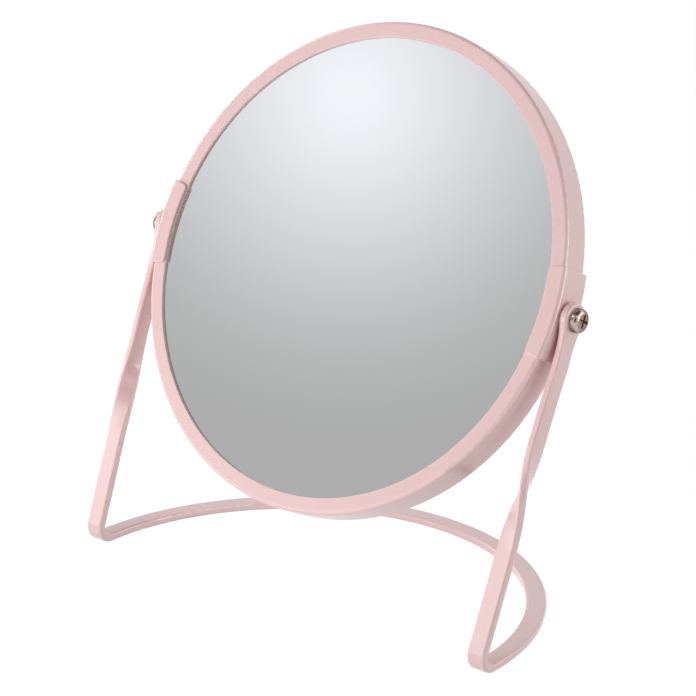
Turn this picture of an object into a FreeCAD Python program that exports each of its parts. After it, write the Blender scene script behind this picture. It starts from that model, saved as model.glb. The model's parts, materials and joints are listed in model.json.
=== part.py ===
import FreeCAD, Part
import math
import os
import re
import Sketcher

# Two-sided tabletop mirror: a round head that turns between the ears of a bent flat-bar stand.
# +Z is up, -Y is the front and the origin is under the middle of the stand, on the table.
# Every piece of the head is drawn square to the pivot axis and tilted by its placement.

# Driving dimensions: millimetres, and degrees where the name says so.
SIZES = {
    # Stand: one flat bar, bent into a half ring, two feet and two twisted legs.
    "bar_width": 6.8,
    "bar_thickness": 2.8,
    "bar_edge_radius": 0.85,
    "base_run": 0.4,
    "foot_bend_radius": 4.6,
    "leg_lean_degrees": 23.2,
    "leg_toe_in": 2.9,
    "leg_bow": 0.7,
    "swing_clearance": 23.7,
    "ear_radius": 5.5,
    "ear_neck_radius": 24.0,
    "ear_shank": 16.0,
    # Rim of the head: a rolled channel, split once under the left clip.
    "head_tilt_degrees": 26.6,
    "rim_radius": 85.0,
    "rim_depth": 12.2,
    "rim_gauge": 0.9,
    "rim_lip_width": 5.7,
    "rim_inner_bend": 0.3,
    "lip_edge_radius": 0.3,
    "hoop_split": 0.1,
    # Two mirrors, flat at the front and dished at the back, held apart by a ring.
    "glass_thickness": 2.0,
    "glass_edge_bevel": 0.4,
    "glass_edge_gap": 1.0,
    "mirror_gap": 1.1,
    "spacer_width": 6.5,
    # Clips that wrap the rim at the two pivots.
    "clip_gauge": 0.95,
    "clip_inner_bend": 0.5,
    "clip_half_degrees": 10.3,
    "clip_setback": 0.2,
    "clip_corner_radius": 1.6,
    "clip_edge_radius": 0.3,
    # Pivot hardware: screw, friction washer and captive square nut on each side.
    "screw_radius": 2.0,
    "screw_tip_bevel": 0.4,
    "screw_head_radius": 3.9,
    "screw_head_height": 2.9,
    "screw_crown_radius": 1.5,
    "recess_length": 4.4,
    "recess_width": 0.9,
    "recess_depth": 1.5,
    "recess_draft_degrees": 6.0,
    "washer_radius": 4.5,
    "washer_thickness": 0.4,
    "nut_width": 7.0,
    "nut_corner_radius": 0.5,
    "nut_thickness": 2.2,
    # Clearances: pieces that seat, the turning ear, the threads, the drilled holes and the cuts.
    "seat_gap": 0.05,
    "pivot_gap": 0.05,
    "thread_gap": 0.05,
    "hole_gap": 0.2,
    "cut_overrun": 1.0,
}

# Sizes that follow from the driving dimensions, each written once.
DERIVED = {
    "lip_radius": "rim_radius - rim_lip_width",
    "wall_radius": "rim_radius - rim_gauge",
    "half_depth": "rim_depth / 2",
    "lip_inside": "half_depth - rim_gauge",
    "rim_outer_bend": "rim_inner_bend + rim_gauge",
    "clip_inside": "rim_radius + seat_gap",
    "clip_radius": "clip_inside + clip_gauge",
    "clip_half_depth": "half_depth + seat_gap + clip_gauge",
    "clip_outer_bend": "clip_inner_bend + clip_gauge",
    "clip_end_radius": "lip_radius + clip_setback",
    "washer_seat": "clip_radius + seat_gap",
    "ear_inside": "washer_seat + washer_thickness + pivot_gap",
    "ear_middle": "ear_inside + bar_thickness / 2",
    "screw_seat": "ear_inside + bar_thickness + pivot_gap",
    "screw_top": "screw_seat + screw_head_height",
    "nut_seat": "sqrt(wall_radius ^ 2 - (nut_width / 2) ^ 2) - seat_gap",
    "nut_inside": "nut_seat - nut_thickness",
    "glass_radius": "nut_inside - glass_edge_gap",
    "glass_seat": "lip_inside - seat_gap",
    "glass_back": "glass_seat - glass_thickness",
    "mirror_sag": "2 * glass_back - mirror_gap",
    "sphere_radius": "(glass_radius ^ 2 + mirror_sag ^ 2) / (2 * mirror_sag)",
    "spacer_radius": "glass_radius - spacer_width",
    "spacer_sag": "mirror_sag - sphere_radius + sqrt(sphere_radius ^ 2 - spacer_radius ^ 2)",
    "base_radius": "ear_middle - leg_toe_in",
    "foot_height": "bar_thickness / 2 + foot_bend_radius",
    "foot_reach": "base_run + foot_height",
    "base_centre_y": "(foot_reach - base_radius - bar_width / 2) / 2",
    "pivot_height": "rim_radius + swing_clearance",
    "foot_rise": "foot_height + foot_bend_radius * sin(leg_lean_degrees)",
    "leg_length": "(pivot_height - foot_rise) / cos(leg_lean_degrees)",
    "foot_front_y": "base_centre_y - base_run - foot_bend_radius * cos(leg_lean_degrees)",
    "pivot_y": "foot_front_y + leg_length * sin(leg_lean_degrees)",
    "leg_run": "leg_length - ear_shank",
    "foot_bend_degrees": "90 + leg_lean_degrees",
}

# The run of each leg, from under its ear to its foot: where it twists, and where it bows out most.
LEG_SECTIONS = 25
TWIST_SHARES = (0.27, 0.67)
BOW_PEAK_SHARE = 1 / 3

EIGHTH_TURN_DEGREES = 45
QUARTER_TURN_DEGREES = 90
HALF_TURN_DEGREES = 180
FULL_TURN_DEGREES = 360
RIGHT = 1
LEFT = -1
SIDE_NAMES = {RIGHT: "right", LEFT: "left"}

doc = FreeCAD.newDocument("tabletop_mirror")
sheet = doc.addObject("Spreadsheet::Sheet", "Sizes")
for row, (alias, number) in enumerate(SIZES.items(), start=1):
    sheet.set(f"A{row}", alias)
    sheet.set(f"B{row}", str(number))
    sheet.setAlias(f"B{row}", alias)
doc.recompute()


def formula(text):
    """Write an expression in size names as one over the sheet's cells."""
    def spell(match):
        word = match.group()
        if word in DERIVED:
            return f"({formula(DERIVED[word])})"
        if word in SIZES:
            return f"Sizes.{word}"
        return word
    return re.sub(r"[a-z][a-z_]*", spell, str(text))


def value(text):
    return float(sheet.evalExpression(formula(text)))


def bind(thing, prop, text):
    thing.setExpression(prop, formula(text))


# Sketch helpers

def new_body(label):
    body = doc.addObject("PartDesign::Body", label)
    body.Label = label
    return body


def place(body, y="0", z="0", lean="0"):
    """Put a body at a height and depth in the middle plane, turned about the pivot's direction."""
    body.Placement = FreeCAD.Placement(FreeCAD.Vector(), FreeCAD.Rotation(FreeCAD.Vector(1, 0, 0), 1))
    bind(body, "Placement.Base.y", y)
    bind(body, "Placement.Base.z", z)
    bind(body, "Placement.Rotation.Angle", lean)


def place_in_head(body, turn="0"):
    place(body, "pivot_y", "pivot_height", f"{turn} - head_tilt_degrees")


def new_sketch(body, name, role, x="0", y="0", lift="0", turn="0"):
    """A sketch on one of the body's own planes, shifted and turned in that plane or lifted off it."""
    sketch = body.newObject("Sketcher::SketchObject", name)
    plane = next(item for item in body.Origin.OriginFeatures if item.Role == role)
    sketch.AttachmentSupport = [(plane, "")]
    sketch.MapMode = "FlatFace"
    sketch.AttachmentOffset = FreeCAD.Placement(
        FreeCAD.Vector(), FreeCAD.Rotation(FreeCAD.Vector(0, 0, 1), 1))
    bind(sketch, "AttachmentOffset.Base.x", x)
    bind(sketch, "AttachmentOffset.Base.y", y)
    bind(sketch, "AttachmentOffset.Base.z", lift)
    bind(sketch, "AttachmentOffset.Rotation.Angle", turn)
    return sketch


def dimension(sketch, kind, *where, size):
    number = sketch.addConstraint(Sketcher.Constraint(kind, *where, value(size)))
    bind(sketch, f"Constraints[{number}]", size)


def pin_point(sketch, geometry, end, x, y):
    """Fix one point of the sketch at x, y, on an axis where the distance is zero."""
    for kind, axis, text in (("DistanceX", -2, x), ("DistanceY", -1, y)):
        if text == "0":
            sketch.addConstraint(Sketcher.Constraint("PointOnObject", geometry, end, axis))
        else:
            dimension(sketch, kind, -1, 1, geometry, end, size=text)


def outline(sketch, corners):
    """Close a line through the corners (x, y, radius or None), rounding those that have a radius."""
    count = len(corners)
    points = [FreeCAD.Vector(value(x), value(y), 0) for x, y, radius in corners]
    ways = [(points[(i + 1) % count] - points[i]).normalize() for i in range(count)]
    starts = list(points)
    ends = [points[(i + 1) % count] for i in range(count)]
    centres = {}
    for i, (x, y, radius) in enumerate(corners):
        if radius is None:
            continue
        turn = ways[i - 1].getAngle(ways[i])
        back = value(radius) * math.tan(turn / 2)
        ends[i - 1] = points[i] - ways[i - 1] * back
        starts[i] = points[i] + ways[i] * back
        inward = (ways[i] - ways[i - 1]).normalize()
        centres[i] = points[i] + inward * (value(radius) / math.cos(turn / 2))
    lines = [sketch.addGeometry(Part.LineSegment(starts[i], ends[i])) for i in range(count)]
    for i, (x, y, radius) in enumerate(corners):
        before, after = lines[i - 1], lines[i]
        if radius is None:
            sketch.addConstraint(Sketcher.Constraint("Coincident", before, 2, after, 1))
            pin_point(sketch, after, 1, x, y)
            continue
        middle = centres[i]
        left_turn = ways[i - 1].cross(ways[i]).z > 0
        first, last = (ends[i - 1], starts[i]) if left_turn else (starts[i], ends[i - 1])
        angles = [math.atan2((p - middle).y, (p - middle).x) for p in (first, last)]
        circle = Part.Circle(middle, FreeCAD.Vector(0, 0, 1), value(radius))
        arc = sketch.addGeometry(Part.ArcOfCircle(circle, *angles))
        arc_in, arc_out = (1, 2) if left_turn else (2, 1)
        sketch.addConstraint(Sketcher.Constraint("Tangent", before, 2, arc, arc_in))
        sketch.addConstraint(Sketcher.Constraint("Tangent", arc, arc_out, after, 1))
        dimension(sketch, "Radius", arc, size=radius)
        corner = sketch.addGeometry(Part.Point(points[i]), True)
        pin_point(sketch, corner, 1, x, y)
        for line in (before, after):
            sketch.addConstraint(Sketcher.Constraint("PointOnObject", corner, 1, line))


def circle_at_origin(sketch, radius):
    ring = sketch.addGeometry(
        Part.Circle(FreeCAD.Vector(), FreeCAD.Vector(0, 0, 1), value(radius)))
    sketch.addConstraint(Sketcher.Constraint("Coincident", ring, 3, -1, 1))
    dimension(sketch, "Radius", ring, size=radius)


def bar_section(sketch, x="0", y="0"):
    """The rolled bar cut across: a flat rectangle with eased edges, its width along the sketch's x."""
    outline(sketch, [
        (f"{x} - bar_width / 2", f"{y} - bar_thickness / 2", "bar_edge_radius"),
        (f"{x} + bar_width / 2", f"{y} - bar_thickness / 2", "bar_edge_radius"),
        (f"{x} + bar_width / 2", f"{y} + bar_thickness / 2", "bar_edge_radius"),
        (f"{x} - bar_width / 2", f"{y} + bar_thickness / 2", "bar_edge_radius"),
    ])


# Feature helpers

def pad(body, name, sketch, length, reverse=False):
    feature = body.newObject("PartDesign::Pad", name)
    feature.Profile = sketch
    feature.Reversed = reverse
    bind(feature, "Length", length)
    return feature


def revolve(body, name, sketch, axis, degrees, both_ways=False, reverse=False):
    feature = body.newObject("PartDesign::Revolution", name)
    feature.Profile = sketch
    feature.ReferenceAxis = (sketch, [axis])
    feature.Midplane = both_ways
    feature.Reversed = reverse
    bind(feature, "Angle", degrees)
    return feature


def pocket_both_ways(body, name, sketch, length):
    """Cut evenly to both sides of the sketch."""
    feature = body.newObject("PartDesign::Pocket", name)
    feature.Profile = sketch
    feature.SideType = "Symmetric"
    bind(feature, "Length", length)
    return feature


def fillet_edges(body, name, base, radius, wanted):
    """Round the edges of the base feature for which wanted(edge) is true."""
    doc.recompute()
    edges = [f"Edge{i}" for i, edge in enumerate(base.Shape.Edges, start=1) if wanted(edge)]
    feature = body.newObject("PartDesign::Fillet", name)
    feature.Base = (base, edges)
    bind(feature, "Radius", radius)
    return feature


def pivot_hole(body, name, radius):
    """Drill along the pivot axis, through both sides of the head."""
    sketch = new_sketch(body, f"{name}_circle", "YZ_Plane")
    circle_at_origin(sketch, radius)
    return pocket_both_ways(body, name, sketch, "2 * (clip_radius + cut_overrun)")


# Stand

def make_base():
    """The half ring that lies on the table, with a bend at each end that turns up into a leg."""
    body = new_body("stand_base")
    place(body, y="base_centre_y")
    section = new_sketch(body, "half_ring_section", "XZ_Plane")
    bar_section(section, "base_radius", "bar_thickness / 2")
    revolve(body, "half_ring", section, "V_Axis", HALF_TURN_DEGREES)
    runs = new_sketch(body, "run_sections", "XZ_Plane")
    feet = new_sketch(body, "foot_sections", "XZ_Plane", lift="base_run")
    for sketch in (runs, feet):
        bar_section(sketch, "base_radius", "bar_thickness / 2")
        bar_section(sketch, "-base_radius", "bar_thickness / 2")
    hinge_line = feet.addGeometry(Part.LineSegment(
        FreeCAD.Vector(-value("base_radius"), value("foot_height"), 0),
        FreeCAD.Vector(value("base_radius"), value("foot_height"), 0)), True)
    pin_point(feet, hinge_line, 1, "-base_radius", "foot_height")
    pin_point(feet, hinge_line, 2, "base_radius", "foot_height")
    pad(body, "runs", runs, "base_run")
    revolve(body, "foot_bends", feet, "Axis0", "foot_bend_degrees", reverse=True)
    return body


def ear_outline(sketch):
    """A round eye about the pivot that draws in to the bar's width through two hollow necks."""
    eye, neck, half = value("ear_radius"), value("ear_neck_radius"), value("bar_width / 2")
    drop = -math.sqrt((eye + neck) ** 2 - (half + neck) ** 2)
    foot = -value("ear_shank")
    up = FreeCAD.Vector(0, 0, 1)
    joint = math.atan2(drop, half + neck)
    round_end = sketch.addGeometry(Part.ArcOfCircle(
        Part.Circle(FreeCAD.Vector(), up, eye), joint, math.pi - joint))
    right_neck = sketch.addGeometry(Part.ArcOfCircle(
        Part.Circle(FreeCAD.Vector(half + neck, drop, 0), up, neck), joint + math.pi, math.pi))
    left_neck = sketch.addGeometry(Part.ArcOfCircle(
        Part.Circle(FreeCAD.Vector(-half - neck, drop, 0), up, neck), 0, -joint))
    right_side = sketch.addGeometry(Part.LineSegment(
        FreeCAD.Vector(half, drop, 0), FreeCAD.Vector(half, foot, 0)))
    left_side = sketch.addGeometry(Part.LineSegment(
        FreeCAD.Vector(-half, foot, 0), FreeCAD.Vector(-half, drop, 0)))
    end = sketch.addGeometry(Part.LineSegment(
        FreeCAD.Vector(half, foot, 0), FreeCAD.Vector(-half, foot, 0)))
    sketch.addConstraint(Sketcher.Constraint("Coincident", round_end, 3, -1, 1))
    sketch.addConstraint(Sketcher.Constraint("Tangent", round_end, 1, right_neck, 1))
    sketch.addConstraint(Sketcher.Constraint("Tangent", round_end, 2, left_neck, 2))
    sketch.addConstraint(Sketcher.Constraint("Tangent", right_neck, 2, right_side, 1))
    sketch.addConstraint(Sketcher.Constraint("Tangent", left_neck, 1, left_side, 2))
    sketch.addConstraint(Sketcher.Constraint("Coincident", right_side, 2, end, 1))
    sketch.addConstraint(Sketcher.Constraint("Coincident", end, 2, left_side, 1))
    dimension(sketch, "Radius", round_end, size="ear_radius")
    dimension(sketch, "Radius", right_neck, size="ear_neck_radius")
    dimension(sketch, "Radius", left_neck, size="ear_neck_radius")
    pin_point(sketch, end, 1, "bar_width / 2", "-ear_shank")
    pin_point(sketch, end, 2, "-bar_width / 2", "-ear_shank")
    circle_at_origin(sketch, "screw_radius + pivot_gap")


def twist_share(share):
    """How much of the quarter turn is done at a share of the leg's run, eased at both ends."""
    start, end = TWIST_SHARES
    done = min(max((share - start) / (end - start), 0), 1)
    return done * done * (3 - 2 * done)


def bow_share(share):
    """How far the leg bows forward there: 1 at the peak, fading out to the foot."""
    return share / BOW_PEAK_SHARE * ((1 - share) / (1 - BOW_PEAK_SHARE)) ** 2


def make_leg(side):
    """One leg, drawn upright below the pivot: an ear, then the run that twists down to the foot."""
    name = SIDE_NAMES[side]
    body = new_body(f"{name}_leg")
    place(body, "pivot_y", "pivot_height", "-leg_lean_degrees")
    eye = new_sketch(body, f"{name}_ear_outline", "YZ_Plane",
                     lift=f"{side} * ear_middle - bar_thickness / 2")
    ear_outline(eye)
    ear = pad(body, f"{name}_ear", eye, "bar_thickness")
    cut_end = -value("ear_shank")

    def on_outside(edge):
        ends_level = all(abs(vertex.Z - cut_end) < Part.Precision.confusion() for vertex in edge.Vertexes)
        flat = edge.BoundBox.XLength < Part.Precision.confusion()
        return flat and not ends_level and not edge.isClosed()
    fillet_edges(body, f"{name}_ear_edges", ear, "bar_edge_radius", on_outside)

    sections = []
    for step in range(LEG_SECTIONS):
        share = step / (LEG_SECTIONS - 1)
        section = new_sketch(
            body, f"{name}_leg_section_{step}", "XY_Plane",
            x=f"{side} * (ear_middle - {share} * leg_toe_in)",
            y=f"-{bow_share(share)} * leg_bow",
            lift=f"-ear_shank - {share} * leg_run",
            turn=f"{side} * {QUARTER_TURN_DEGREES} * ({twist_share(share)} - 1)")
        bar_section(section)
        sections.append(section)
    run = body.newObject("PartDesign::AdditiveLoft", f"{name}_leg_run")
    run.Profile = sections[0]
    run.Sections = sections[1:]
    return body


def make_stand():
    """Join the base and both legs: on the real stand they are one bar."""
    stand = doc.addObject("Part::MultiFuse", "stand")
    stand.Label = "stand"
    stand.Shapes = [make_base(), make_leg(RIGHT), make_leg(LEFT)]
    return stand


# Head

def make_rim():
    """A rolled channel that holds both mirrors by its lips, split once and drilled at the pivots."""
    body = new_body("rim_hoop")
    place_in_head(body)
    section = new_sketch(body, "channel_section", "XY_Plane")
    outline(section, [
        ("lip_radius", "-half_depth", "lip_edge_radius"),
        ("rim_radius", "-half_depth", "rim_outer_bend"),
        ("rim_radius", "half_depth", "rim_outer_bend"),
        ("lip_radius", "half_depth", "lip_edge_radius"),
        ("lip_radius", "lip_inside", None),
        ("wall_radius", "lip_inside", "rim_inner_bend"),
        ("wall_radius", "-lip_inside", "rim_inner_bend"),
        ("lip_radius", "-lip_inside", None),
    ])
    revolve(body, "channel", section, "V_Axis", FULL_TURN_DEGREES)
    split = new_sketch(body, "split_outline", "XY_Plane")
    outline(split, [
        ("-rim_radius - cut_overrun", "-half_depth - cut_overrun", None),
        ("-lip_radius + cut_overrun", "-half_depth - cut_overrun", None),
        ("-lip_radius + cut_overrun", "half_depth + cut_overrun", None),
        ("-rim_radius - cut_overrun", "half_depth + cut_overrun", None),
    ])
    pocket_both_ways(body, "split", split, "hoop_split")
    pivot_hole(body, "rim_holes", "screw_radius + hole_gap")
    return body


def make_clip(side):
    """A saddle of the rim's own section that wraps it at a pivot, its corners and outer edges rounded."""
    name = SIDE_NAMES[side]
    body = new_body(f"{name}_clip")
    place_in_head(body)
    section = new_sketch(body, f"{name}_clip_section", "XY_Plane")
    end, wall, inside = f"{side} * clip_end_radius", f"{side} * clip_radius", f"{side} * clip_inside"
    outline(section, [
        (end, "-clip_half_depth", None),
        (wall, "-clip_half_depth", "clip_outer_bend"),
        (wall, "clip_half_depth", "clip_outer_bend"),
        (end, "clip_half_depth", None),
        (end, "half_depth + seat_gap", None),
        (inside, "half_depth + seat_gap", "clip_inner_bend"),
        (inside, "-half_depth - seat_gap", "clip_inner_bend"),
        (end, "-half_depth - seat_gap", None),
    ])
    saddle = revolve(body, f"{name}_saddle", section, "V_Axis", "2 * clip_half_degrees", both_ways=True)
    tangible = Part.Precision.confusion()
    end_radius = value("clip_end_radius")

    def at_flange_corner(edge):
        across = edge.BoundBox.XLength < tangible and edge.BoundBox.ZLength < tangible
        middle = edge.CenterOfMass
        return across and abs(math.hypot(middle.x, middle.z) - end_radius) < tangible
    corners = fillet_edges(
        body, f"{name}_flange_corners", saddle, "clip_corner_radius", at_flange_corner)
    bend = value("clip_inner_bend")
    wall_start, flange_start = value("clip_inside") - bend, value("half_depth + seat_gap") - bend

    def on_outer_skin(vertex):
        past_wall = math.hypot(vertex.X, vertex.Z) - wall_start
        past_flange = abs(vertex.Y) - flange_start
        if past_wall > 0 and past_flange > 0:
            reach = math.hypot(past_wall, past_flange)
        else:
            reach = max(past_wall, past_flange)
        return reach - bend > value("clip_gauge") - tangible

    def round_the_outside(edge):
        faces = corners.Shape.ancestorsOfType(edge, Part.Face)
        has_cut_face = any(not all(map(on_outer_skin, face.Vertexes)) for face in faces)
        return has_cut_face and all(map(on_outer_skin, edge.Vertexes))
    fillet_edges(body, f"{name}_clip_edges", corners, "clip_edge_radius", round_the_outside)
    pivot_hole(body, f"{name}_clip_hole", "screw_radius + hole_gap")
    return body


def make_front_glass():
    """The plain mirror: a flat disc with ground edges."""
    body = new_body("front_mirror_glass")
    place_in_head(body)
    section = new_sketch(body, "flat_glass_section", "XY_Plane")
    outline(section, [
        ("0", "-glass_seat", None),
        ("glass_radius - glass_edge_bevel", "-glass_seat", None),
        ("glass_radius", "-glass_seat + glass_edge_bevel", None),
        ("glass_radius", "-glass_back - glass_edge_bevel", None),
        ("glass_radius - glass_edge_bevel", "-glass_back", None),
        ("0", "-glass_back", None),
    ])
    revolve(body, "flat_glass", section, "V_Axis", FULL_TURN_DEGREES)
    return body


def make_rear_glass():
    """The magnifying mirror: a disc slumped to a shallow dish that opens to the back."""
    body = new_body("rear_mirror_glass")
    place_in_head(body)
    sketch = new_sketch(body, "dished_glass_section", "XY_Plane")
    up = FreeCAD.Vector(0, 0, 1)
    edge, sphere = value("glass_radius"), value("sphere_radius")
    sweep = math.asin(edge / sphere)
    arcs = []
    for rim_depth in ("glass_back", "glass_seat"):
        centre = FreeCAD.Vector(0, value(f"{rim_depth} - mirror_sag") + sphere, 0)
        arcs.append(sketch.addGeometry(Part.ArcOfCircle(
            Part.Circle(centre, up, sphere), -math.pi / 2, sweep - math.pi / 2)))
    near, far = arcs
    axis_line = sketch.addGeometry(Part.LineSegment(
        FreeCAD.Vector(0, value("glass_seat - mirror_sag"), 0),
        FreeCAD.Vector(0, value("glass_back - mirror_sag"), 0)))
    edge_line = sketch.addGeometry(Part.LineSegment(
        FreeCAD.Vector(edge, value("glass_back"), 0), FreeCAD.Vector(edge, value("glass_seat"), 0)))
    sketch.addConstraint(Sketcher.Constraint("Coincident", axis_line, 2, near, 1))
    sketch.addConstraint(Sketcher.Constraint("Coincident", near, 2, edge_line, 1))
    sketch.addConstraint(Sketcher.Constraint("Coincident", edge_line, 2, far, 2))
    sketch.addConstraint(Sketcher.Constraint("Coincident", far, 1, axis_line, 1))
    pin_point(sketch, axis_line, 1, "0", "glass_seat - mirror_sag")
    pin_point(sketch, axis_line, 2, "0", "glass_back - mirror_sag")
    pin_point(sketch, edge_line, 1, "glass_radius", "glass_back")
    pin_point(sketch, edge_line, 2, "glass_radius", "glass_seat")
    for arc in arcs:
        sketch.addConstraint(Sketcher.Constraint("PointOnObject", arc, 3, -2))
    revolve(body, "dished_glass", sketch, "V_Axis", FULL_TURN_DEGREES)
    return body


def make_spacer():
    """The ring between the two mirrors, its back sloped to follow the dish."""
    body = new_body("spacer_ring")
    place_in_head(body)
    section = new_sketch(body, "spacer_section", "XY_Plane")
    outline(section, [
        ("spacer_radius", "-glass_back + seat_gap", None),
        ("glass_radius", "-glass_back + seat_gap", None),
        ("glass_radius", "glass_back - seat_gap", None),
        ("spacer_radius", "glass_back - spacer_sag - seat_gap", None),
    ])
    revolve(body, "spacer", section, "V_Axis", FULL_TURN_DEGREES)
    return body


# Pivot hardware

def make_screw(side):
    """A pan-head machine screw driven inwards through the ear, with the seam between the recess's arms."""
    name = SIDE_NAMES[side]
    body = new_body(f"{name}_screw")
    place_in_head(body, turn=f"{EIGHTH_TURN_DEGREES}")
    section = new_sketch(body, f"{name}_screw_section", "XY_Plane")
    outline(section, [
        (f"{side} * nut_inside", "0", None),
        (f"{side} * nut_inside", "screw_radius - screw_tip_bevel", None),
        (f"{side} * (nut_inside + screw_tip_bevel)", "screw_radius", None),
        (f"{side} * screw_seat", "screw_radius", None),
        (f"{side} * screw_seat", "screw_head_radius", None),
        (f"{side} * screw_top", "screw_head_radius", "screw_crown_radius"),
        (f"{side} * screw_top", "0", None),
    ])
    revolve(body, f"{name}_shank_and_head", section, "H_Axis", FULL_TURN_DEGREES)
    cross = new_sketch(body, f"{name}_cross_outline", "YZ_Plane", lift=f"{side} * screw_top",
                       turn=f"{EIGHTH_TURN_DEGREES}")
    long_arm, half_arm = "recess_length / 2", "recess_width / 2"
    quarter = [(long_arm, f"-{half_arm}"), (long_arm, half_arm), (half_arm, half_arm)]
    corners = []
    for turn in range(4):
        corners += [(x, y, None) for x, y in quarter]
        quarter = [(f"-({y})", x) for x, y in quarter]
    outline(cross, corners)
    recess = body.newObject("PartDesign::Pocket", f"{name}_cross_recess")
    recess.Profile = cross
    recess.Reversed = side == LEFT
    bind(recess, "Length", "recess_depth")
    bind(recess, "TaperAngle", "-recess_draft_degrees")
    return body


def make_washer(side):
    """The thin washer that the ear turns against."""
    name = SIDE_NAMES[side]
    body = new_body(f"{name}_friction_washer")
    place_in_head(body)
    rings = new_sketch(body, f"{name}_washer_rings", "YZ_Plane", lift=f"{side} * washer_seat")
    circle_at_origin(rings, "washer_radius")
    circle_at_origin(rings, "screw_radius + hole_gap")
    pad(body, f"{name}_washer", rings, "washer_thickness", reverse=side == LEFT)
    return body


def make_nut(side):
    """The square nut that the channel keeps from turning."""
    name = SIDE_NAMES[side]
    body = new_body(f"{name}_nut")
    place_in_head(body)
    square = new_sketch(body, f"{name}_nut_outline", "YZ_Plane", lift=f"{side} * nut_inside")
    half, corner = "nut_width / 2", "nut_corner_radius"
    outline(square, [
        (f"-{half}", f"-{half}", corner),
        (half, f"-{half}", corner),
        (half, half, corner),
        (f"-{half}", half, corner),
    ])
    circle_at_origin(square, "screw_radius + thread_gap")
    pad(body, f"{name}_nut_block", square, "nut_thickness", reverse=side == LEFT)
    return body


pieces = [make_stand(), make_rim(), make_front_glass(), make_rear_glass(), make_spacer()]
for side in (RIGHT, LEFT):
    pieces += [make_clip(side), make_screw(side), make_washer(side), make_nut(side)]
doc.recompute()

for thing in doc.Objects:
    if "Invalid" in thing.State or "Error" in thing.State:
        raise RuntimeError(f"{thing.Label} did not build: {thing.State}")
for piece in pieces:
    if piece.Shape.isNull() or not piece.Shape.isValid() or len(piece.Shape.Solids) != 1:
        raise RuntimeError(f"{piece.Label} is not one valid solid")

os.makedirs("parts", exist_ok=True)
for piece in pieces:
    piece.Shape.exportStep(f"parts/{piece.Label}.step")
    box = piece.Shape.optimalBoundingBox()
    print(f"{piece.Label:24} {piece.Shape.Volume:9.1f} mm3  x {box.XMin:.2f} {box.XMax:.2f}"
          f"  y {box.YMin:.2f} {box.YMax:.2f}  z {box.ZMin:.2f} {box.ZMax:.2f}")
print(f"pivot at y {value('pivot_y'):.3f}, z {value('pivot_height'):.3f}")
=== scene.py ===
# %% [markdown]
# # A two-sided tabletop mirror in pink coated steel
# The real thing is a round mirror in a rolled steel rim. It swings between the two ears of a stand
# that is bent from one flat bar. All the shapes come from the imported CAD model, so this lesson is
# about what Blender adds: the camera, the finishes, the studio and the light. Lengths are in metres.

# %% Load the frame
import json
import math
import bpy
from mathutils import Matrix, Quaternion, Vector


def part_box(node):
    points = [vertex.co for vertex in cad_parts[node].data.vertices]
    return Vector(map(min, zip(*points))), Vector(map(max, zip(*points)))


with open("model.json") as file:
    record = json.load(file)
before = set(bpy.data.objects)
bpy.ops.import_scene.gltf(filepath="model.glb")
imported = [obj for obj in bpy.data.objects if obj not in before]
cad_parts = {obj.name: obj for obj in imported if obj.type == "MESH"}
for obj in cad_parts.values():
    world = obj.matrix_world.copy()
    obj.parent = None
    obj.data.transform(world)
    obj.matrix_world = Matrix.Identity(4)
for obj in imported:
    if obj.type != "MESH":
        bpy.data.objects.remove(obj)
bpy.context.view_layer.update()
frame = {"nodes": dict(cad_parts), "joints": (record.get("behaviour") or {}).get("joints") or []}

print("pieces:", ", ".join(sorted(frame["nodes"])))

# %% [markdown]
# ## The camera
# The mirror was photographed from its front right, a little above. A camera could be set by eye, but
# here its place was worked out from the ellipse of the rim and the four ends of the stand, and it is
# written as a step from the pivot, so that it follows the model. The lens is long, as for most small
# goods, which keeps the two legs nearly the same size.

# %% Camera
pivot = Vector(frame["joints"][0]["pos_m"])
camera_step = Vector((0.5324, -0.65114, 0.2545))
view_direction = Vector((-0.6028, 0.7314, -0.3187)).normalized()
camera_roll = math.radians(0.06)
lens_mm = 134.61
sensor_mm = 36

camera_data = bpy.data.cameras.new("camera")
camera_data.lens = lens_mm
camera_data.sensor_width = sensor_mm
camera_data.sensor_fit = "HORIZONTAL"
camera = bpy.data.objects.new("camera", camera_data)
camera.location = pivot + camera_step
camera.rotation_mode = "QUATERNION"
camera.rotation_quaternion = view_direction.to_track_quat("-Z", "Y")
camera.rotation_quaternion.rotate(Quaternion(view_direction, camera_roll))
bpy.context.scene.collection.objects.link(camera)
bpy.context.scene.camera = camera
print("camera distance in mm:", round(1000 * camera_step.length))

# %% [markdown]
# ## Building materials from nodes
# A material is a small graph. Helpers keep each one short: `add` makes a node, sets its options and
# fills or links its inputs, `new_finish` starts a material with one shader at its end, and `new_group`
# starts an effect that several materials can share.


# %% Node helpers
def set_inputs(tree, node, inputs):
    """Fill each named input with a value, or link it where a socket is given."""
    for name, source in inputs.items():
        if isinstance(source, bpy.types.NodeSocket):
            tree.links.new(source, node.inputs[name])
        else:
            node.inputs[name].default_value = source


def add(tree, kind, inputs=None, **options):
    made = tree.nodes.new(kind)
    for name, option in options.items():
        setattr(made, name, option)
    set_inputs(tree, made, inputs or {})
    return made


def new_finish(name):
    finish = bpy.data.materials.new(name)
    finish.use_nodes = True
    return finish, finish.node_tree, finish.node_tree.nodes["Principled BSDF"]


def new_group(name, inputs, outputs):
    """An empty node group with number inputs (name: starting value) and number outputs."""
    group = bpy.data.node_groups.new(name, "ShaderNodeTree")
    for socket_name, start in inputs.items():
        socket = group.interface.new_socket(socket_name, in_out="INPUT", socket_type="NodeSocketFloat")
        socket.default_value = start
    for socket_name in outputs:
        group.interface.new_socket(socket_name, in_out="OUTPUT", socket_type="NodeSocketFloat")
    return group, group.nodes.new("NodeGroupInput"), group.nodes.new("NodeGroupOutput")


print("helpers ready")

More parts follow.
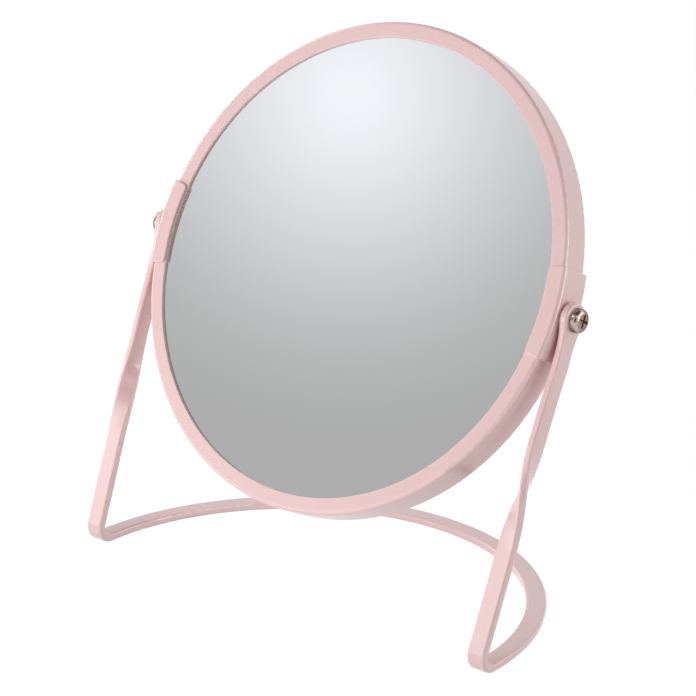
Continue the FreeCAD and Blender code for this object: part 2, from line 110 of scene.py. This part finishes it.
# %% [markdown]
# ## Two shared effects
# No finish is perfectly even. Coating pools a little, plating clouds and plastic cools unevenly, so one
# group gives a slow, cloudy value between two limits. The second group gives a fine skin of small
# bumps: orange peel on a coating, or the bloom of a moulded surface. Both are groups because most of
# the finishes below use them, each with its own size and depth.

# %% Cloudy value
clouds, cloud_in, cloud_out = new_group(
    "cloudy_value", {"Size": 0.02, "Low": 0.0, "High": 1.0}, ["Value"])
cloud_place = add(clouds, "ShaderNodeTexCoord")
cloud_scale = add(clouds, "ShaderNodeMath", {0: 1.0, 1: cloud_in.outputs["Size"]}, operation="DIVIDE")
cloud_noise = add(clouds, "ShaderNodeTexNoise", {
    "Vector": cloud_place.outputs["Object"], "Scale": cloud_scale.outputs[0],
    "Detail": 3.0, "Roughness": 0.55})
cloud_range = add(clouds, "ShaderNodeMapRange", {
    "Value": cloud_noise.outputs[0], "From Min": 0.3, "From Max": 0.7,
    "To Min": cloud_in.outputs["Low"], "To Max": cloud_in.outputs["High"]})
clouds.links.new(cloud_range.outputs[0], cloud_out.inputs["Value"])
print("group:", clouds.name)

# %% Fine skin
skin, skin_in, skin_out = new_group("fine_skin", {"Size": 0.001}, ["Height"])
skin_place = add(skin, "ShaderNodeTexCoord")
skin_scale = add(skin, "ShaderNodeMath", {0: 1.0, 1: skin_in.outputs["Size"]}, operation="DIVIDE")
skin_noise = add(skin, "ShaderNodeTexNoise", {
    "Vector": skin_place.outputs["Object"], "Scale": skin_scale.outputs[0],
    "Detail": 2.0, "Roughness": 0.6})
skin.links.new(skin_noise.outputs[0], skin_out.inputs["Height"])
print("group:", skin.name)


# %% Place the shared effects
def cloudy(tree, size, low, high):
    return add(tree, "ShaderNodeGroup", {"Size": size, "Low": low, "High": high},
               node_tree=clouds).outputs["Value"]


def skin_normal(tree, size, depth, strength):
    height = add(tree, "ShaderNodeGroup", {"Size": size}, node_tree=skin).outputs["Height"]
    bump = add(tree, "ShaderNodeBump", {"Height": height, "Distance": depth, "Strength": strength})
    return bump.outputs["Normal"]


def two_tone(tree, share, first, second):
    """A colour between two others, by a share that changes over the surface."""
    mix = add(tree, "ShaderNodeMix", {"Factor": share, "A": first, "B": second}, data_type="RGBA")
    return mix.outputs["Result"]


def drifting(tree, size, first, second):
    """A colour that drifts between two tones in clouds of a given size."""
    return two_tone(tree, cloudy(tree, size, low=0.0, high=1.0), first, second)


print("shared effects can be placed")

# %% [markdown]
# ## Pink coated steel
# The stand, the rim and the two clips carry one pale pink coating, baked on and satin. A plain paint
# shader looks too dull, because the real coating is smooth and hard: flat faces take up the white of
# the studio, and the rounded edges that look at the camera go darker. A high index of refraction gives
# that strong, colourless gloss. The tone drifts a little, and the skin has a faint orange peel.

# %% Coating
deep_pink = (0.765, 0.523, 0.518, 1)
pale_pink = (0.785, 0.544, 0.538, 1)
coating, tree, shader = new_finish("pink_coating")
set_inputs(tree, shader, {
    "Base Color": drifting(tree, 0.035, deep_pink, pale_pink),
    "Roughness": cloudy(tree, size=0.012, low=0.18, high=0.23),
    "IOR": 1.9,
    "Normal": skin_normal(tree, size=0.003, depth=0.000006, strength=0.12),
})
coated = ["stand", "rim_hoop", "right_clip", "left_clip"]
print("coated:", coated)

# %% [markdown]
# ## Silvered glass
# Each mirror is a sheet of glass with silver behind it, so only the polished face reflects. The edge is
# ground to a pale green-grey, and the back is covered by grey paint that keeps damp off the silver.
# One material does all three by asking which way the surface faces in the head's own space. The dished
# mirror is part of a large ball, and a reflection shows every small flaw of a mesh, so its polished face
# takes its normal from the middle of that ball and not from the mesh.

# %% The dish as part of a ball
head_tilt = math.radians(26.6)
head_front = Vector((0, -math.cos(head_tilt), math.sin(head_tilt)))
ball_radius = 0.63004
dish_height = 0.00005
dish_bottom = pivot + dish_height * head_front
ball_middle = dish_bottom - ball_radius * head_front


def ball_normal(tree, mesh_normal, silver):
    """The normal of the dish where it is silvered, and the mesh's own normal elsewhere."""
    place = add(tree, "ShaderNodeTexCoord")
    inward = add(tree, "ShaderNodeVectorMath", {0: ball_middle, 1: place.outputs["Object"]},
                 operation="SUBTRACT")
    turned = add(tree, "ShaderNodeVectorTransform", {0: inward.outputs[0]},
                 vector_type="NORMAL", convert_from="OBJECT", convert_to="WORLD")
    unit = add(tree, "ShaderNodeVectorMath", {0: turned.outputs[0]}, operation="NORMALIZE")
    choice = add(tree, "ShaderNodeMix", {"Factor": silver, "A": mesh_normal, "B": unit.outputs[0]},
                 data_type="VECTOR")
    return choice.outputs["Result"]


print("ball radius in mm:", round(1000 * ball_radius))

# %% Mirrors
silver_tone = (0.925, 0.935, 0.935, 1)
ground_edge = (0.55, 0.66, 0.60, 1)
back_paint = (0.30, 0.31, 0.32, 1)
dull_roughness = 0.5
facing_limit = 0.9


def silvered_glass(name, face, dished):
    finish, tree, shader = new_finish(name)
    geometry = add(tree, "ShaderNodeNewGeometry")
    own_normal = add(tree, "ShaderNodeVectorTransform", {0: geometry.outputs["True Normal"]},
                     vector_type="NORMAL", convert_from="WORLD", convert_to="OBJECT")
    facing = add(tree, "ShaderNodeVectorMath", {0: own_normal.outputs[0], 1: face},
                 operation="DOT_PRODUCT").outputs["Value"]
    silver = add(tree, "ShaderNodeMath", {0: facing, 1: facing_limit},
                 operation="GREATER_THAN").outputs[0]
    painted = add(tree, "ShaderNodeMath", {0: facing, 1: -facing_limit},
                  operation="LESS_THAN").outputs[0]
    dull = two_tone(tree, painted, ground_edge, back_paint)
    haze = cloudy(tree, size=0.03, low=0.0005, high=0.0015)
    roughness = add(tree, "ShaderNodeMapRange", {
        "Value": silver, "To Min": dull_roughness, "To Max": haze})
    set_inputs(tree, shader, {
        "Base Color": two_tone(tree, silver, dull, silver_tone),
        "Metallic": silver,
        "Roughness": roughness.outputs[0],
    })
    if dished:
        set_inputs(tree, shader, {"Normal": ball_normal(tree, geometry.outputs["Normal"], silver)})
    return finish


mirrors = {
    "front_mirror_glass": silvered_glass("flat_mirror", head_front, dished=False),
    "rear_mirror_glass": silvered_glass("dished_mirror", -head_front, dished=True),
}
print("silvered:", list(mirrors))

# %% [markdown]
# ## Nickel screws
# The two pivot screws are nickel. Their heads were turned, which leaves rings too fine to count. The
# cross recess is punched, so it is rougher. The colours hold painted light: the base colour is a dark,
# warm brown that is a painted reflection, and a darker brown on the crown round the recess is painted
# shade, which thins out towards the crown's edge. Painting these by hand would need an image, so they
# come from two measures: the distance to the pivot axis, and the depth below the crown. A dark specular
# tint paints shade along the outline of the head, so that it doesn't melt into the white that it
# reflects at grazing angles.

# %% Turned rings
rings, ring_in, ring_out = new_group(
    "turned_rings", {"Pitch": 0.0003}, ["Height", "Radius"])
ring_place = add(rings, "ShaderNodeTexCoord")
from_axis = add(rings, "ShaderNodeVectorMath", {0: ring_place.outputs["Object"], 1: pivot},
                operation="SUBTRACT")
flat_place = add(rings, "ShaderNodeVectorMath", {0: from_axis.outputs[0], 1: (0, 1, 1)},
                 operation="MULTIPLY")
radius = add(rings, "ShaderNodeVectorMath", {0: flat_place.outputs[0]}, operation="LENGTH")
turns = add(rings, "ShaderNodeMath", {0: radius.outputs["Value"], 1: ring_in.outputs["Pitch"]},
            operation="DIVIDE")
ring_noise = add(rings, "ShaderNodeTexNoise", {"W": turns.outputs[0], "Scale": 1.0, "Detail": 2.0},
                 noise_dimensions="1D")
rings.links.new(ring_noise.outputs[0], ring_out.inputs["Height"])
rings.links.new(radius.outputs["Value"], ring_out.inputs["Radius"])
print("group:", rings.name)

# %% Recess and painted shade
crown_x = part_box("right_screw")[1].x
crown_depth = 0.0004
recess_radius = 0.0023
painted_shade_radius = 0.0040
full_painted_shade_radius = 0.0022

nickel, tree, shader = new_finish("nickel_with_painted_light")
screw_rings = add(tree, "ShaderNodeGroup", {"Pitch": 0.00012}, node_tree=rings)
place = add(tree, "ShaderNodeTexCoord")
across = add(tree, "ShaderNodeSeparateXYZ", {0: place.outputs["Object"]})
outward = add(tree, "ShaderNodeMath", {0: across.outputs["X"]}, operation="ABSOLUTE")
depth = add(tree, "ShaderNodeMath", {0: crown_x, 1: outward.outputs[0]}, operation="SUBTRACT")
sunk = add(tree, "ShaderNodeMapRange", {
    "Value": depth.outputs[0], "From Min": 0.0002, "From Max": 0.0012})
near_axis = add(tree, "ShaderNodeMath", {0: screw_rings.outputs["Radius"], 1: recess_radius},
                operation="LESS_THAN")
recess = add(tree, "ShaderNodeMath", {0: sunk.outputs[0], 1: near_axis.outputs[0]}, operation="MULTIPLY")
# Painted shade: the crown goes darker in clouds towards the cross recess, and not below the crown.
painted_shade_reach = add(tree, "ShaderNodeMapRange", {
    "Value": screw_rings.outputs["Radius"], "From Min": painted_shade_radius, "From Max": full_painted_shade_radius,
    "To Max": cloudy(tree, size=0.0006, low=0.35, high=0.9)}, interpolation_type="SMOOTHSTEP")
on_crown = add(tree, "ShaderNodeMath", {0: depth.outputs[0], 1: crown_depth}, operation="LESS_THAN")
painted_shade = add(tree, "ShaderNodeMath", {0: painted_shade_reach.outputs[0], 1: on_crown.outputs[0]},
            operation="MULTIPLY")
print("screw crown at", round(1000 * crown_x, 2), "mm from the middle")

# %% Nickel
# Painted dark reflection: the nickel's base colour is darkened and warmed to brown. The second colour is
# the painted shade on the crown.
painted_reflection_nickel = (0.52, 0.41, 0.37, 1)
painted_shade_nickel = (0.22, 0.15, 0.125, 1)
punched_roughness = 0.5
ring_bump = add(tree, "ShaderNodeBump", {
    "Height": screw_rings.outputs["Height"], "Distance": 0.00002, "Strength": 0.5})
nickel_roughness = add(tree, "ShaderNodeMapRange", {
    "Value": recess.outputs[0], "To Min": cloudy(tree, size=0.002, low=0.09, high=0.15),
    "To Max": punched_roughness})
set_inputs(tree, shader, {
    "Base Color": two_tone(tree, painted_shade.outputs[0], painted_reflection_nickel, painted_shade_nickel),
    "Metallic": 1.0,
    # The dark specular tint paints shade along the outline of the head.
    "Specular Tint": (0.12, 0.09, 0.08, 1),
    "Roughness": nickel_roughness.outputs[0],
    "Normal": ring_bump.outputs["Normal"],
})
print("finish:", nickel.name)

# %% [markdown]
# ## The hidden pieces
# Nuts, washers and the ring between the mirrors are seen only when the mirror is taken apart, but they
# get a finish of their own all the same: zinc plate with its cloudy spangle, milky nylon, and grey
# moulded plastic with a dull bloom. Each is the two shared effects again, with other sizes.

# %% Zinc, nylon and plastic
zinc, tree, shader = new_finish("zinc_plate")
set_inputs(tree, shader, {
    "Base Color": drifting(tree, 0.0015, (0.58, 0.60, 0.62, 1), (0.70, 0.71, 0.71, 1)),
    "Metallic": 1.0,
    "Roughness": cloudy(tree, size=0.001, low=0.3, high=0.45),
    "Normal": skin_normal(tree, size=0.0004, depth=0.00002, strength=0.4),
})

nylon, tree, shader = new_finish("milky_nylon")
set_inputs(tree, shader, {
    "Base Color": drifting(tree, 0.003, (0.80, 0.79, 0.75, 1), (0.86, 0.85, 0.82, 1)),
    "Roughness": cloudy(tree, size=0.002, low=0.38, high=0.5),
    "Subsurface Weight": 0.2,
    "Normal": skin_normal(tree, size=0.0005, depth=0.00002, strength=0.4),
})

plastic, tree, shader = new_finish("moulded_grey_plastic")
set_inputs(tree, shader, {
    "Base Color": drifting(tree, 0.02, (0.50, 0.50, 0.50, 1), (0.57, 0.57, 0.56, 1)),
    "Roughness": cloudy(tree, size=0.006, low=0.5, high=0.62),
    "Normal": skin_normal(tree, size=0.0006, depth=0.00004, strength=0.5),
})
print("hidden finishes:", zinc.name, nylon.name, plastic.name)

# %% Put the finishes on
finishes = {name: coating for name in coated}
finishes.update(mirrors)
for side in ("right", "left"):
    finishes[f"{side}_screw"] = nickel
    finishes[f"{side}_nut"] = zinc
    finishes[f"{side}_friction_washer"] = nylon
finishes["spacer_ring"] = plastic
for name, finish in finishes.items():
    for slot in frame["nodes"][name].material_slots:
        slot.material = finish
print("finished:", len(finishes), "of", len(frame["nodes"]))

# %% [markdown]
# ## The studio
# The photograph stands on pure white. The floor is a plain plane that gives off most of its white to
# the camera and takes the rest from the lamps, so a soft shadow still shows under the stand. The world
# is white to the camera and in reflections, and gives a soft fill to everything else. That fill is
# weaker from the front right, because the faces that look that way are darker in the photograph.


# %% Floor
def square_mesh(name, half, height=0.0):
    mesh = bpy.data.meshes.new(name)
    corners = [(x * half, y * half, height) for x, y in ((-1, -1), (1, -1), (1, 1), (-1, 1))]
    mesh.from_pydata(corners, [], [(0, 1, 2, 3)])
    return mesh


floor_half = 4.0
floor_drop = 0.0002
floor_mesh = square_mesh("floor", floor_half, -floor_drop)
floor = bpy.data.objects.new("floor", floor_mesh)
bpy.context.scene.collection.objects.link(floor)
print("floor side in m:", 2 * floor_half)


# %% Floor paint
def bare_material(name):
    """A material with an empty graph, whose glow isn't sampled as a lamp."""
    finish = bpy.data.materials.new(name)
    finish.use_nodes = True
    finish.node_tree.nodes.clear()
    finish.cycles.emission_sampling = "NONE"
    return finish, finish.node_tree


def seen_directly(tree):
    """1 for rays from the camera and for those that come by a reflection or through glass."""
    path = add(tree, "ShaderNodeLightPath")
    either = add(tree, "ShaderNodeMath", {
        0: path.outputs["Is Camera Ray"], 1: path.outputs["Is Glossy Ray"]}, operation="MAXIMUM")
    return add(tree, "ShaderNodeMath", {
        0: either.outputs[0], 1: path.outputs["Is Transmission Ray"]}, operation="MAXIMUM").outputs[0]


pure_white = (1, 1, 1, 1)
matt_white = (0.8, 0.8, 0.8, 1)
floor_tone = (0.14, 0.14, 0.14, 1)
floor_glow = 0.93
floor_paint, tree = bare_material("white_floor")
matt = add(tree, "ShaderNodeBsdfDiffuse", {"Color": matt_white})
shadow_catch = add(tree, "ShaderNodeBsdfDiffuse", {"Color": floor_tone})
glow = add(tree, "ShaderNodeEmission", {"Color": pure_white, "Strength": floor_glow})
bright = add(tree, "ShaderNodeAddShader", {0: shadow_catch.outputs[0], 1: glow.outputs[0]})
choice = add(tree, "ShaderNodeMixShader", {
    0: seen_directly(tree), 1: matt.outputs[0], 2: bright.outputs[0]})
add(tree, "ShaderNodeOutputMaterial", {"Surface": choice.outputs[0]})
floor_mesh.materials.append(floor_paint)
print("floor glow:", floor_glow)

# %% World
fill_strength = 0.42
shaded_strength = 0.12
shaded_way = Vector((0.80, -0.57, 0.20)).normalized()
world = bpy.data.worlds.new("white_studio")
world.use_nodes = True
bpy.context.scene.world = world
tree = world.node_tree
tree.nodes.clear()
sky_place = add(tree, "ShaderNodeTexCoord")
toward_shade = add(tree, "ShaderNodeVectorMath", {0: sky_place.outputs["Generated"], 1: shaded_way},
                   operation="DOT_PRODUCT")
fill = add(tree, "ShaderNodeMapRange", {
    "Value": toward_shade.outputs["Value"], "From Min": 0.45, "From Max": 0.95,
    "To Min": fill_strength, "To Max": shaded_strength}, interpolation_type="SMOOTHSTEP")
level = add(tree, "ShaderNodeMapRange", {
    "Value": seen_directly(tree), "To Min": fill.outputs[0], "To Max": 1.0})
sky = add(tree, "ShaderNodeBackground", {"Color": pure_white, "Strength": level.outputs[0]})
add(tree, "ShaderNodeOutputWorld", {"Surface": sky.outputs[0]})
print("fill strength:", fill_strength, "and", shaded_strength, "in the shade")

# %% [markdown]
# ## A card for the flat mirror
# A mirror shows the studio and nothing of its own. In the photograph it shows a soft light that fades to
# grey. Painting that fade on the glass would freeze it, so a card with the fade stands where the mirror
# looks, seen by reflections alone. Its place comes from simple optics: the mirror sees what a second
# camera behind the glass would see.


# %% Card helpers
def make_card(name, centre, facing, half, finish):
    """A square that only reflections see."""
    mesh = square_mesh(name, half)
    mesh.materials.append(finish)
    card = bpy.data.objects.new(name, mesh)
    card.location = centre
    card.rotation_mode = "QUATERNION"
    card.rotation_quaternion = facing.to_track_quat("Z", "Y")
    card.visible_camera = False
    card.visible_diffuse = False
    card.visible_transmission = False
    card.visible_shadow = False
    bpy.context.scene.collection.objects.link(card)


def radial_share(tree, reach):
    """1 in the middle of a card, falling to 0 at the reach."""
    place = add(tree, "ShaderNodeTexCoord")
    scaled = add(tree, "ShaderNodeVectorMath", {0: place.outputs["Object"], "Scale": 1 / reach},
                 operation="SCALE")
    fade = add(tree, "ShaderNodeTexGradient", {"Vector": scaled.outputs[0]}, gradient_type="SPHERICAL")
    return fade.outputs["Fac"]


print("cards can be made")

# %% Where the flat mirror looks
face_height = 0.00515
glow_shift = -0.020
glow_rise = 0.0575
mirror_face = pivot + face_height * head_front
mirror_up = Vector((0, math.sin(head_tilt), math.cos(head_tilt)))
camera_height = (camera.location - mirror_face).dot(head_front)
camera_behind = camera.location - 2 * camera_height * head_front
glow_point = mirror_face + Vector((glow_shift, 0, 0)) + glow_rise * mirror_up
glow_way = (glow_point - camera_behind).normalized()
print("camera behind the glass at", [round(1000 * c) for c in camera_behind], "mm")

# %% Fading light
glow_distance = 1.8
glow_reach = 0.371
glow_half = 0.62
fade_stops = [(0.0, 0.442), (0.17, 0.475), (0.34, 0.545), (0.5, 0.65),
              (0.67, 0.77), (0.84, 0.905), (1.0, 0.985)]
red_loss = 0.010
outer_blue = 0.99
blue_gain = 0.06

glow_paint, tree = bare_material("fading_light")
fade = add(tree, "ShaderNodeValToRGB", {0: radial_share(tree, glow_reach)})
fade.color_ramp.interpolation = "B_SPLINE"
stops = fade.color_ramp.elements
while len(stops) < len(fade_stops):
    stops.new(0.5)
for stop, (share, grey) in zip(stops, fade_stops):
    stop.position = share
    stop.color = ((1 - red_loss * share) * grey, grey, (outer_blue + blue_gain * share) * grey, 1)
light = add(tree, "ShaderNodeEmission", {"Color": fade.outputs["Color"], "Strength": 1.0})
add(tree, "ShaderNodeOutputMaterial", {"Surface": light.outputs[0]})
make_card("fading_light_card", glow_point + glow_distance * glow_way, -glow_way, glow_half, glow_paint)
print("fading light with", len(stops), "stops")

# %% [markdown]
# ## Dark cards for the coating
# A satin coating in an all-white room looks chalky. A dark card behind the camera and a dark ceiling
# give it the deeper tone along rounded edges and on its tops. Their edges fade out, so no hard line
# shows. In a mirror such a card would look like a hole, so mirrors see it as a soft grey: Light Path's
# Is Singular Ray tells a mirror's sharp reflection from the blurred one of the coating.

# %% Dark cloth
mirror_outer_grey = 0.9
mirror_middle_grey = 0.42


def dark_cloth(name, level, reach):
    """A dark cloth whose edge fades out, and which a mirror sees as a paler grey."""
    finish, tree = bare_material(name)
    share = radial_share(tree, reach)
    soft_edge = add(tree, "ShaderNodeMapRange", {"Value": share, "From Max": 0.55},
                    interpolation_type="SMOOTHSTEP")
    in_mirror = add(tree, "ShaderNodeMapRange", {
        "Value": share, "From Min": 0.3, "To Min": mirror_outer_grey, "To Max": mirror_middle_grey})
    path = add(tree, "ShaderNodeLightPath")
    shown = add(tree, "ShaderNodeMapRange", {
        "Value": path.outputs["Is Singular Ray"], "To Min": level, "To Max": in_mirror.outputs[0]})
    cloth = add(tree, "ShaderNodeEmission", {"Color": pure_white, "Strength": shown.outputs[0]})
    clear = add(tree, "ShaderNodeBsdfTransparent")
    edge_mix = add(tree, "ShaderNodeMixShader", {
        0: soft_edge.outputs[0], 1: clear.outputs[0], 2: cloth.outputs[0]})
    add(tree, "ShaderNodeOutputMaterial", {"Surface": edge_mix.outputs[0]})
    return finish


print("mirrors see the cloth from", mirror_middle_grey, "to", mirror_outer_grey)

# %% Dark cards
behind_way = Vector((0.42, -0.85, 0.32)).normalized()
behind_distance = 1.4
behind_reach = 1.0
behind_level = 0.03
make_card("dark_card", pivot + behind_distance * behind_way, -behind_way, behind_reach,
          dark_cloth("dark_cloth", behind_level, behind_reach))

ceiling_rise = Vector((0, 0, 1.5))
ceiling_reach = 1.7
ceiling_level = 0.10
make_card("dark_ceiling", pivot + ceiling_rise, Vector((0, 0, -1)), ceiling_reach,
          dark_cloth("ceiling_cloth", ceiling_level, ceiling_reach))
print("levels of the card and the ceiling:", behind_level, ceiling_level)

# %% [markdown]
# ## Lamps
# The flat faces are brightest to the front and left, the tops are darker, and thin light lines run along
# the right-hand edges. So the lamps stand low round the mirror, not above it. Each is a large soft
# panel given by its direction from the pivot. The two in front would leave hot spots, so they are kept
# out of all reflections, as a photographer would flag them off. A last lamp lies on the table and looks
# up, for the light that a white table throws back.

# %% Lamp helpers
lamp_distance = 1.3


def add_lamp(name, place, facing, size, watts, glossy=True):
    """A soft rectangle of light. Without gloss, no reflection shows it."""
    lamp_data = bpy.data.lights.new(name, "AREA")
    lamp_data.shape = "RECTANGLE"
    lamp_data.size, lamp_data.size_y = size
    lamp_data.energy = watts
    lamp = bpy.data.objects.new(name, lamp_data)
    lamp.location = place
    lamp.rotation_mode = "QUATERNION"
    lamp.rotation_quaternion = facing.to_track_quat("-Z", "Y")
    lamp.visible_glossy = glossy
    bpy.context.scene.collection.objects.link(lamp)
    return lamp


def add_panel(name, azimuth, elevation, size, watts, glossy=True):
    """A lamp that looks at the pivot: azimuth is 0 in front and 90 to the right, in degrees."""
    turn = math.radians(azimuth)
    rise = math.radians(elevation)
    way = Vector((math.sin(turn) * math.cos(rise), -math.cos(turn) * math.cos(rise), math.sin(rise)))
    return add_lamp(name, pivot + lamp_distance * way, -way, size, watts, glossy)


print("lamps stand", lamp_distance, "m from the pivot")

# %% Lamps
bounce_place = Vector((-0.16, -0.34, 0.002))
add_panel("flagged_panel", -15, 15, (0.7, 0.7), 8.0, glossy=False)
add_panel("low_strip", -38, 1, (0.9, 0.18), 1.8, glossy=False)
add_panel("left_panel", -90, 18, (0.7, 1.2), 3.8)
add_panel("right_panel", 100, 10, (0.4, 0.7), 3.5)
add_panel("back_right_panel", 130, 14, (0.7, 1.1), 3.6)
add_lamp("table_bounce", bounce_place, Vector((0, 0, 1)), (0.5, 0.4), 0.65, glossy=False)
bpy.context.scene.view_settings.view_transform = "Standard"

# %% [markdown]
# ## Lamps for a few pieces
# Light linking lets a lamp reach chosen pieces alone. One panel lifts the coated pieces and leaves the
# mirrors as they are, and two tall strips draw the bright lines on the small screw heads.


# %% Linked lamps
def only_for(lamp, names):
    """Let a lamp reach the named pieces alone."""
    receivers = bpy.data.collections.new(f"{lamp.name}_receivers")
    for name in names:
        receivers.objects.link(frame["nodes"][name])
    lamp.light_linking.receiver_collection = receivers


only_for(add_panel("coat_panel", -40, 4, (0.7, 0.6), 1.3), coated)
for name, azimuth in (("screw_strip_left", -42), ("screw_strip_right", 34)):
    only_for(add_panel(name, azimuth, 20, (0.10, 3.0), 2.2), ["right_screw", "left_screw"])
print("linked lamps:", [c.name for c in bpy.data.collections if c.name.endswith("_receivers")])
